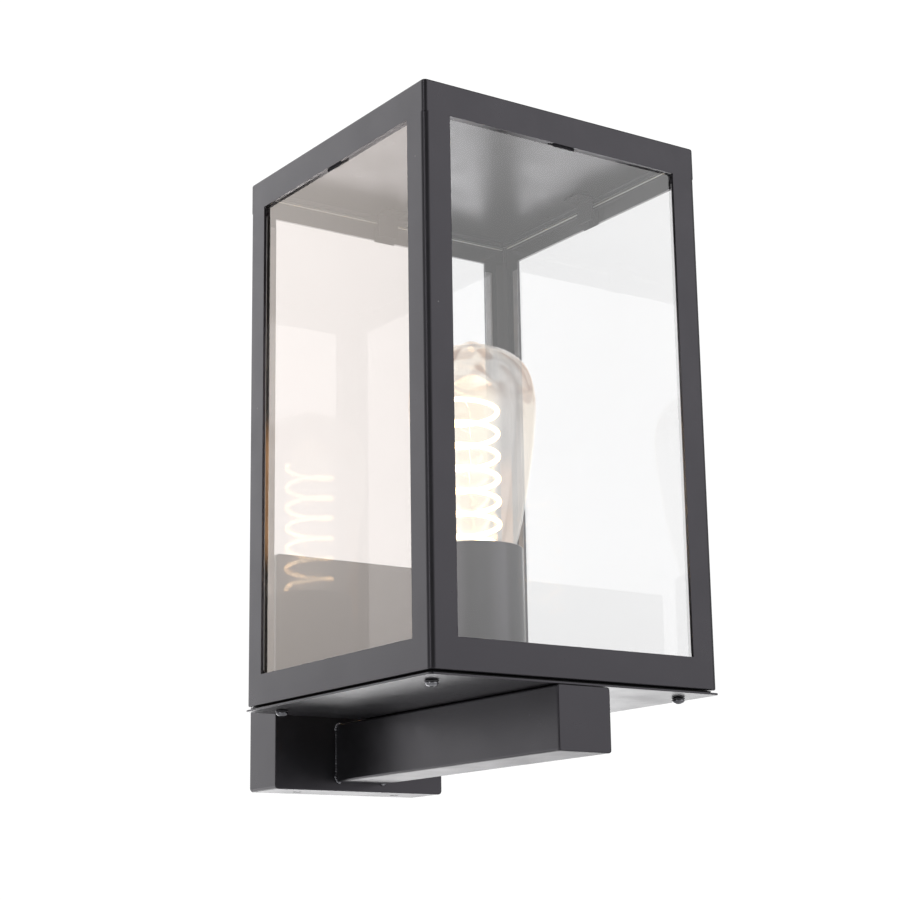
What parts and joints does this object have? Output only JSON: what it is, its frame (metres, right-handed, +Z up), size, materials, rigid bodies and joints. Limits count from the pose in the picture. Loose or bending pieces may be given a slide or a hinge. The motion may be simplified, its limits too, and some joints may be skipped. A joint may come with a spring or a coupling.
{
  "type": "outdoor wall lantern",
  "caption": "Square glazed outdoor wall lantern: lift-off hood with clear panes over an upright screw-in spiral filament bulb, on a square arm from a shallow wall box.",
  "frame": {"origin": "centre of the wall side of the wall box, on the back face of the mounting bracket", "axes": "+Z up, the lantern stands out from the wall along -Y, +X to the right seen from the room"},
  "size_m": [0.1654, 0.2178, 0.3121],
  "materials": {
    "black_powder_coat": "satin black powder coat",
    "zinc_plated_steel": "bright zinc plate",
    "pane_glass": "clear polished",
    "bulb_glass": "clear thin glass",
    "black_rubber": "matt",
    "white_plastic": "matt moulded",
    "porcelain": "glazed",
    "brass": "bright",
    "nickel": "bright nickel plate",
    "filament": "warm glowing spiral",
    "brown_insulation": "smooth",
    "blue_insulation": "smooth",
    "green_insulation": "smooth"
  },
  "bodies": {
    "base": {"wall_box": "black_powder_coat", "mounting_bracket": "zinc_plated_steel", "box_set_screw_left": "zinc_plated_steel", "box_set_screw_right": "zinc_plated_steel", "terminal_block": "white_plastic", "earth_screw": "zinc_plated_steel", "earth_washer": "zinc_plated_steel", "earth_lug": "brass", "cable_grommet": "black_rubber", "arm_tube": "black_powder_coat", "arm_end_cap": "black_powder_coat", "base_plate": "black_powder_coat", "base_seal": "black_rubber", "plate_rivet_front": "zinc_plated_steel", "plate_rivet_back": "zinc_plated_steel", "lampholder_cover": "black_powder_coat", "lampholder_body": "porcelain", "screw_shell": "brass", "centre_contact": "brass", "threaded_nipple": "zinc_plated_steel", "nipple_nut": "zinc_plated_steel", "live_wire": "brown_insulation", "neutral_wire": "blue_insulation", "earth_wire": "green_insulation"},
    "hood": {"roof_cap": "black_powder_coat", "bottom_frame": "black_powder_coat", "corner_post_front_left": "black_powder_coat", "corner_post_front_right": "black_powder_coat", "corner_post_back_right": "black_powder_coat", "corner_post_back_left": "black_powder_coat", "hood_insert_front_left": "zinc_plated_steel", "hood_insert_front_right": "zinc_plated_steel", "hood_insert_back_right": "zinc_plated_steel", "hood_insert_back_left": "zinc_plated_steel", "glass_front": "pane_glass", "glass_right": "pane_glass", "glass_back": "pane_glass", "glass_left": "pane_glass", "glass_clip_front": "black_powder_coat", "glass_clip_right": "black_powder_coat", "glass_clip_back": "black_powder_coat", "glass_clip_left": "black_powder_coat"},
    "bulb_seat": {"bulb_contact": "nickel", "bulb_insulator": "black_rubber"},
    "bulb": {"bulb_cap": "nickel", "bulb_globe": "bulb_glass", "bulb_stem": "bulb_glass", "bulb_filament": "filament"},
    "washer_front_left": {"corner_washer_front_left": "black_powder_coat"},
    "screw_front_left": {"corner_screw_front_left": "black_powder_coat"},
    "washer_front_right": {"corner_washer_front_right": "black_powder_coat"},
    "screw_front_right": {"corner_screw_front_right": "black_powder_coat"},
    "washer_back_right": {"corner_washer_back_right": "black_powder_coat"},
    "screw_back_right": {"corner_screw_back_right": "black_powder_coat"},
    "washer_back_left": {"corner_washer_back_left": "black_powder_coat"},
    "screw_back_left": {"corner_screw_back_left": "black_powder_coat"}
  },
  "joints": [
    {"name": "hood_lift", "type": "slide", "parent": "base", "child": "hood", "axis": [0, 0, 1], "range_m": [0, 0.2]},
    {"name": "bulb_lift", "type": "slide", "parent": "base", "child": "bulb_seat", "axis": [0, 0, 1], "range_m": [0, 0.0182]},
    {"name": "bulb_turn", "type": "hinge", "parent": "bulb_seat", "child": "bulb", "pos_m": [0, -0.1338, 0.03], "axis": [0, 0, 1], "range_deg": [0, 1800]},
    {"name": "screw_drop_front_left", "type": "slide", "parent": "base", "child": "washer_front_left", "axis": [0, 0, -1], "range_m": [0, 0.0084]},
    {"name": "screw_turn_front_left", "type": "hinge", "parent": "washer_front_left", "child": "screw_front_left", "pos_m": [-0.0711, -0.1999, -0.024], "axis": [0, 0, -1], "range_deg": [0, 4321]},
    {"name": "screw_drop_front_right", "type": "slide", "parent": "base", "child": "washer_front_right", "axis": [0, 0, -1], "range_m": [0, 0.0084]},
    {"name": "screw_turn_front_right", "type": "hinge", "parent": "washer_front_right", "child": "screw_front_right", "pos_m": [0.0711, -0.1999, -0.024], "axis": [0, 0, -1], "range_deg": [0, 4321]},
    {"name": "screw_drop_back_right", "type": "slide", "parent": "base", "child": "washer_back_right", "axis": [0, 0, -1], "range_m": [0, 0.0084]},
    {"name": "screw_turn_back_right", "type": "hinge", "parent": "washer_back_right", "child": "screw_back_right", "pos_m": [0.0711, -0.0677, -0.024], "axis": [0, 0, -1], "range_deg": [0, 4321]},
    {"name": "screw_drop_back_left", "type": "slide", "parent": "base", "child": "washer_back_left", "axis": [0, 0, -1], "range_m": [0, 0.0084]},
    {"name": "screw_turn_back_left", "type": "hinge", "parent": "washer_back_left", "child": "screw_back_left", "pos_m": [-0.0711, -0.0677, -0.024], "axis": [0, 0, -1], "range_deg": [0, 4321]}
  ],
  "couplings": [
    {"joint": "bulb_lift", "follows": "bulb_turn", "m_per_rad": 0.00057757},
    {"joint": "screw_turn_front_left", "follows": "screw_drop_front_left", "rad_per_m": 8976},
    {"joint": "screw_turn_front_right", "follows": "screw_drop_front_right", "rad_per_m": 8976},
    {"joint": "screw_turn_back_right", "follows": "screw_drop_back_right", "rad_per_m": 8976},
    {"joint": "screw_turn_back_left", "follows": "screw_drop_back_left", "rad_per_m": 8976}
  ]
}
